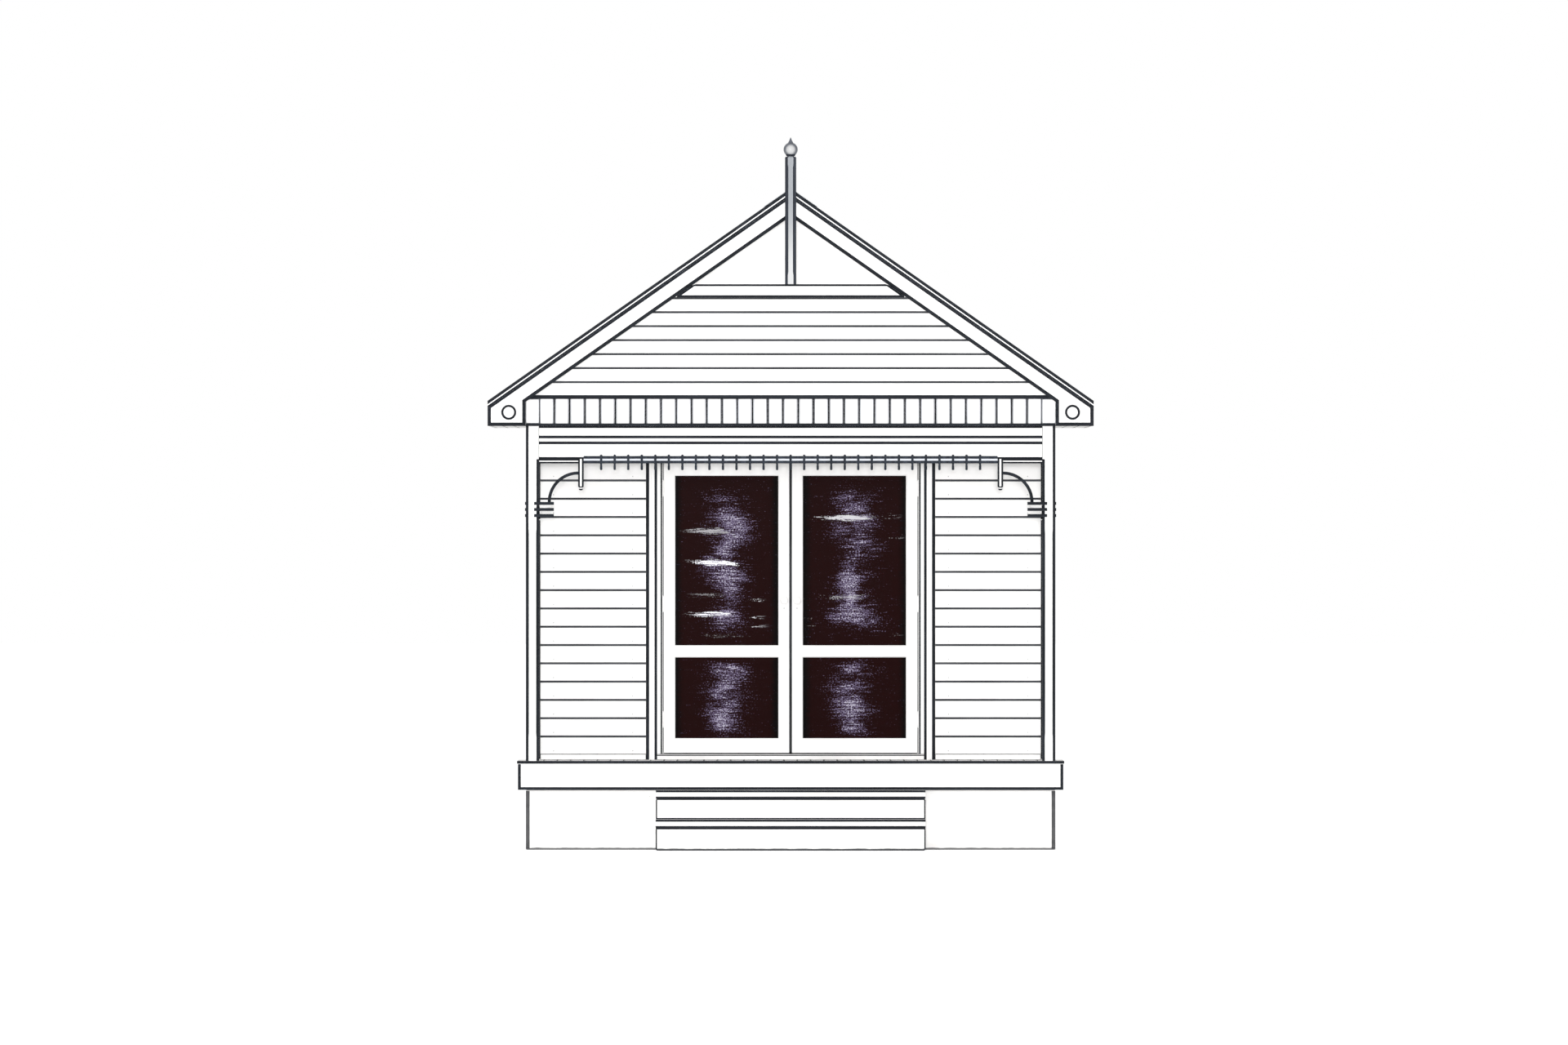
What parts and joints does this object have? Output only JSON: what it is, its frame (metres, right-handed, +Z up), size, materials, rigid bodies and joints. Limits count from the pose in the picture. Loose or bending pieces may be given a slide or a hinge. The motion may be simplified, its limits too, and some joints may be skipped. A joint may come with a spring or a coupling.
{
  "type": "garden studio",
  "caption": "Weatherboarded one-room garden studio with a gabled verandah, glazed double doors, corrugated roof, turned finial and timber steps.",
  "frame": {"origin": "on the ground under the middle of the building's overall box", "axes": "+Z up, -Y the front with the doors and steps, +X to the right seen from the front"},
  "size_m": [4.118, 5.632, 4.8427],
  "materials": {
    "white_paint": "satin white paint on timber",
    "deck_paint": "pale grey floor paint on boards",
    "blue_grey_paint": "satin blue-grey paint on turned timber",
    "zinc_steel": "weathered zinc-coated corrugated steel",
    "plinth_render": "painted lime render on masonry",
    "dark_glass": "dark reflective glass",
    "painted_iron": "white enamel on iron door furniture"
  },
  "bodies": {
    "studio": {"plinth_front": "plinth_render", "plinth_sides": "plinth_render", "plinth_back": "plinth_render", "verandah_deck": "deck_paint", "deck_fascia_front": "white_paint", "deck_fascia_sides": "white_paint", "treads": "deck_paint", "step_risers": "white_paint", "step_stringers": "white_paint", "room_floor": "deck_paint", "wall_left": "white_paint", "wall_right": "white_paint", "wall_back": "white_paint", "front_wall_left": "white_paint", "front_wall_right": "white_paint", "front_wall_over_door": "white_paint", "corner_boards": "white_paint", "door_frame": "white_paint", "door_threshold": "deck_paint", "architrave": "white_paint", "frame_hinges": "painted_iron", "post_left": "white_paint", "post_right": "white_paint", "front_beam": "white_paint", "side_beams": "white_paint", "front_moulding": "white_paint", "side_mouldings": "white_paint", "front_valance": "blue_grey_paint", "side_valances": "blue_grey_paint", "front_brackets": "white_paint", "side_brackets": "white_paint", "front_frieze": "white_paint", "front_gable": "white_paint", "collar_tie": "white_paint", "finial": "blue_grey_paint", "barges_front": "white_paint", "barges_back": "white_paint", "barge_caps": "white_paint", "verge_soffits": "white_paint", "roundels": "white_paint", "roof_left": "zinc_steel", "roof_right": "zinc_steel", "ridge_cap": "zinc_steel", "soffits": "white_paint", "fascias": "white_paint", "room_ceiling": "white_paint", "verandah_ceiling": "white_paint"},
    "left_door": {"door_left": "white_paint", "glass_left": "dark_glass", "handles_left": "painted_iron", "leaf_hinges_left": "painted_iron"},
    "right_door": {"door_right": "white_paint", "glass_right": "dark_glass", "handles_right": "painted_iron", "leaf_hinges_right": "painted_iron"}
  },
  "joints": [
    {"name": "left_door_swing", "type": "hinge", "parent": "studio", "child": "left_door", "pos_m": [-0.8705, -1.003, 0.65], "axis": [0, 0, -1], "range_deg": [0, 100]},
    {"name": "right_door_swing", "type": "hinge", "parent": "studio", "child": "right_door", "pos_m": [0.8705, -1.003, 0.65], "axis": [0, 0, 1], "range_deg": [0, 100]}
  ]
}
